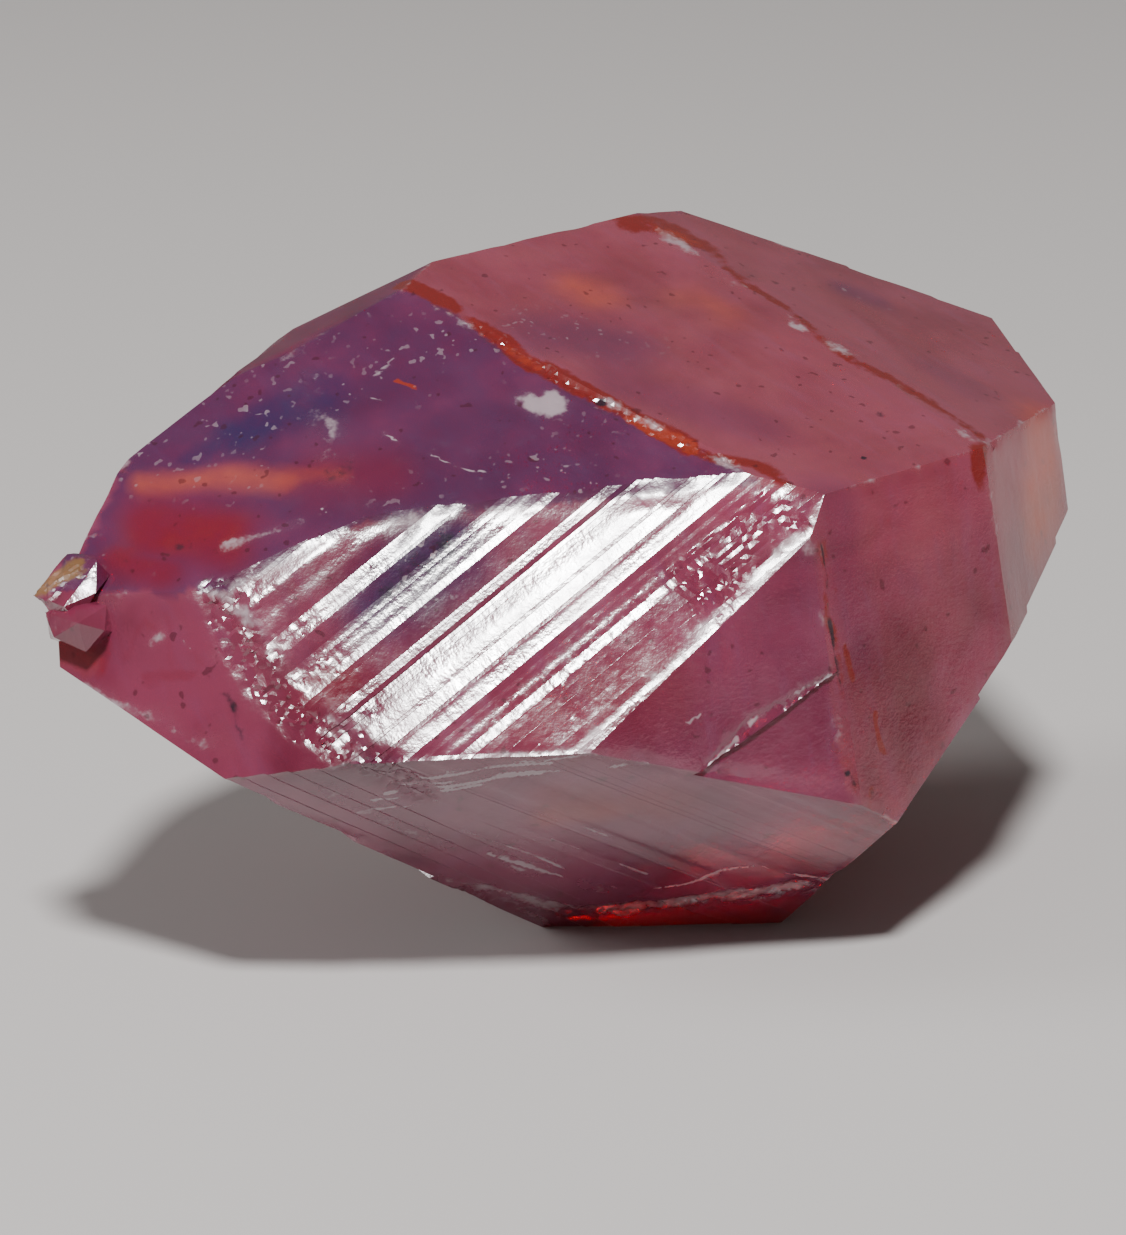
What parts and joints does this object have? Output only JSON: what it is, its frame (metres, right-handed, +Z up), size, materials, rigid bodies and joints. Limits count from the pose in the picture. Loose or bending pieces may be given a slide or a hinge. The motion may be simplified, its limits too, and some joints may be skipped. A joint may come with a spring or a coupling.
{
  "type": "ruby crystal",
  "caption": "Double terminated ruby crystal with flat faces, one finely ridged face, chipped edges and a rough stained tip, lying on a broken facet.",
  "frame": {"origin": "middle of the bounding box at the level of the ground, under the crystal", "axes": "+X along the long axis towards the blunt end, the chipped tip at -X; +Z up as the crystal rests on its broken facet; the ridged face looks towards -X, -Y and up"},
  "size_m": [0.01, 0.0058, 0.0055],
  "materials": {
    "ruby": "satin"
  },
  "bodies": {
    "root": {"ruby_crystal": "ruby"}
  },
  "joints": []
}
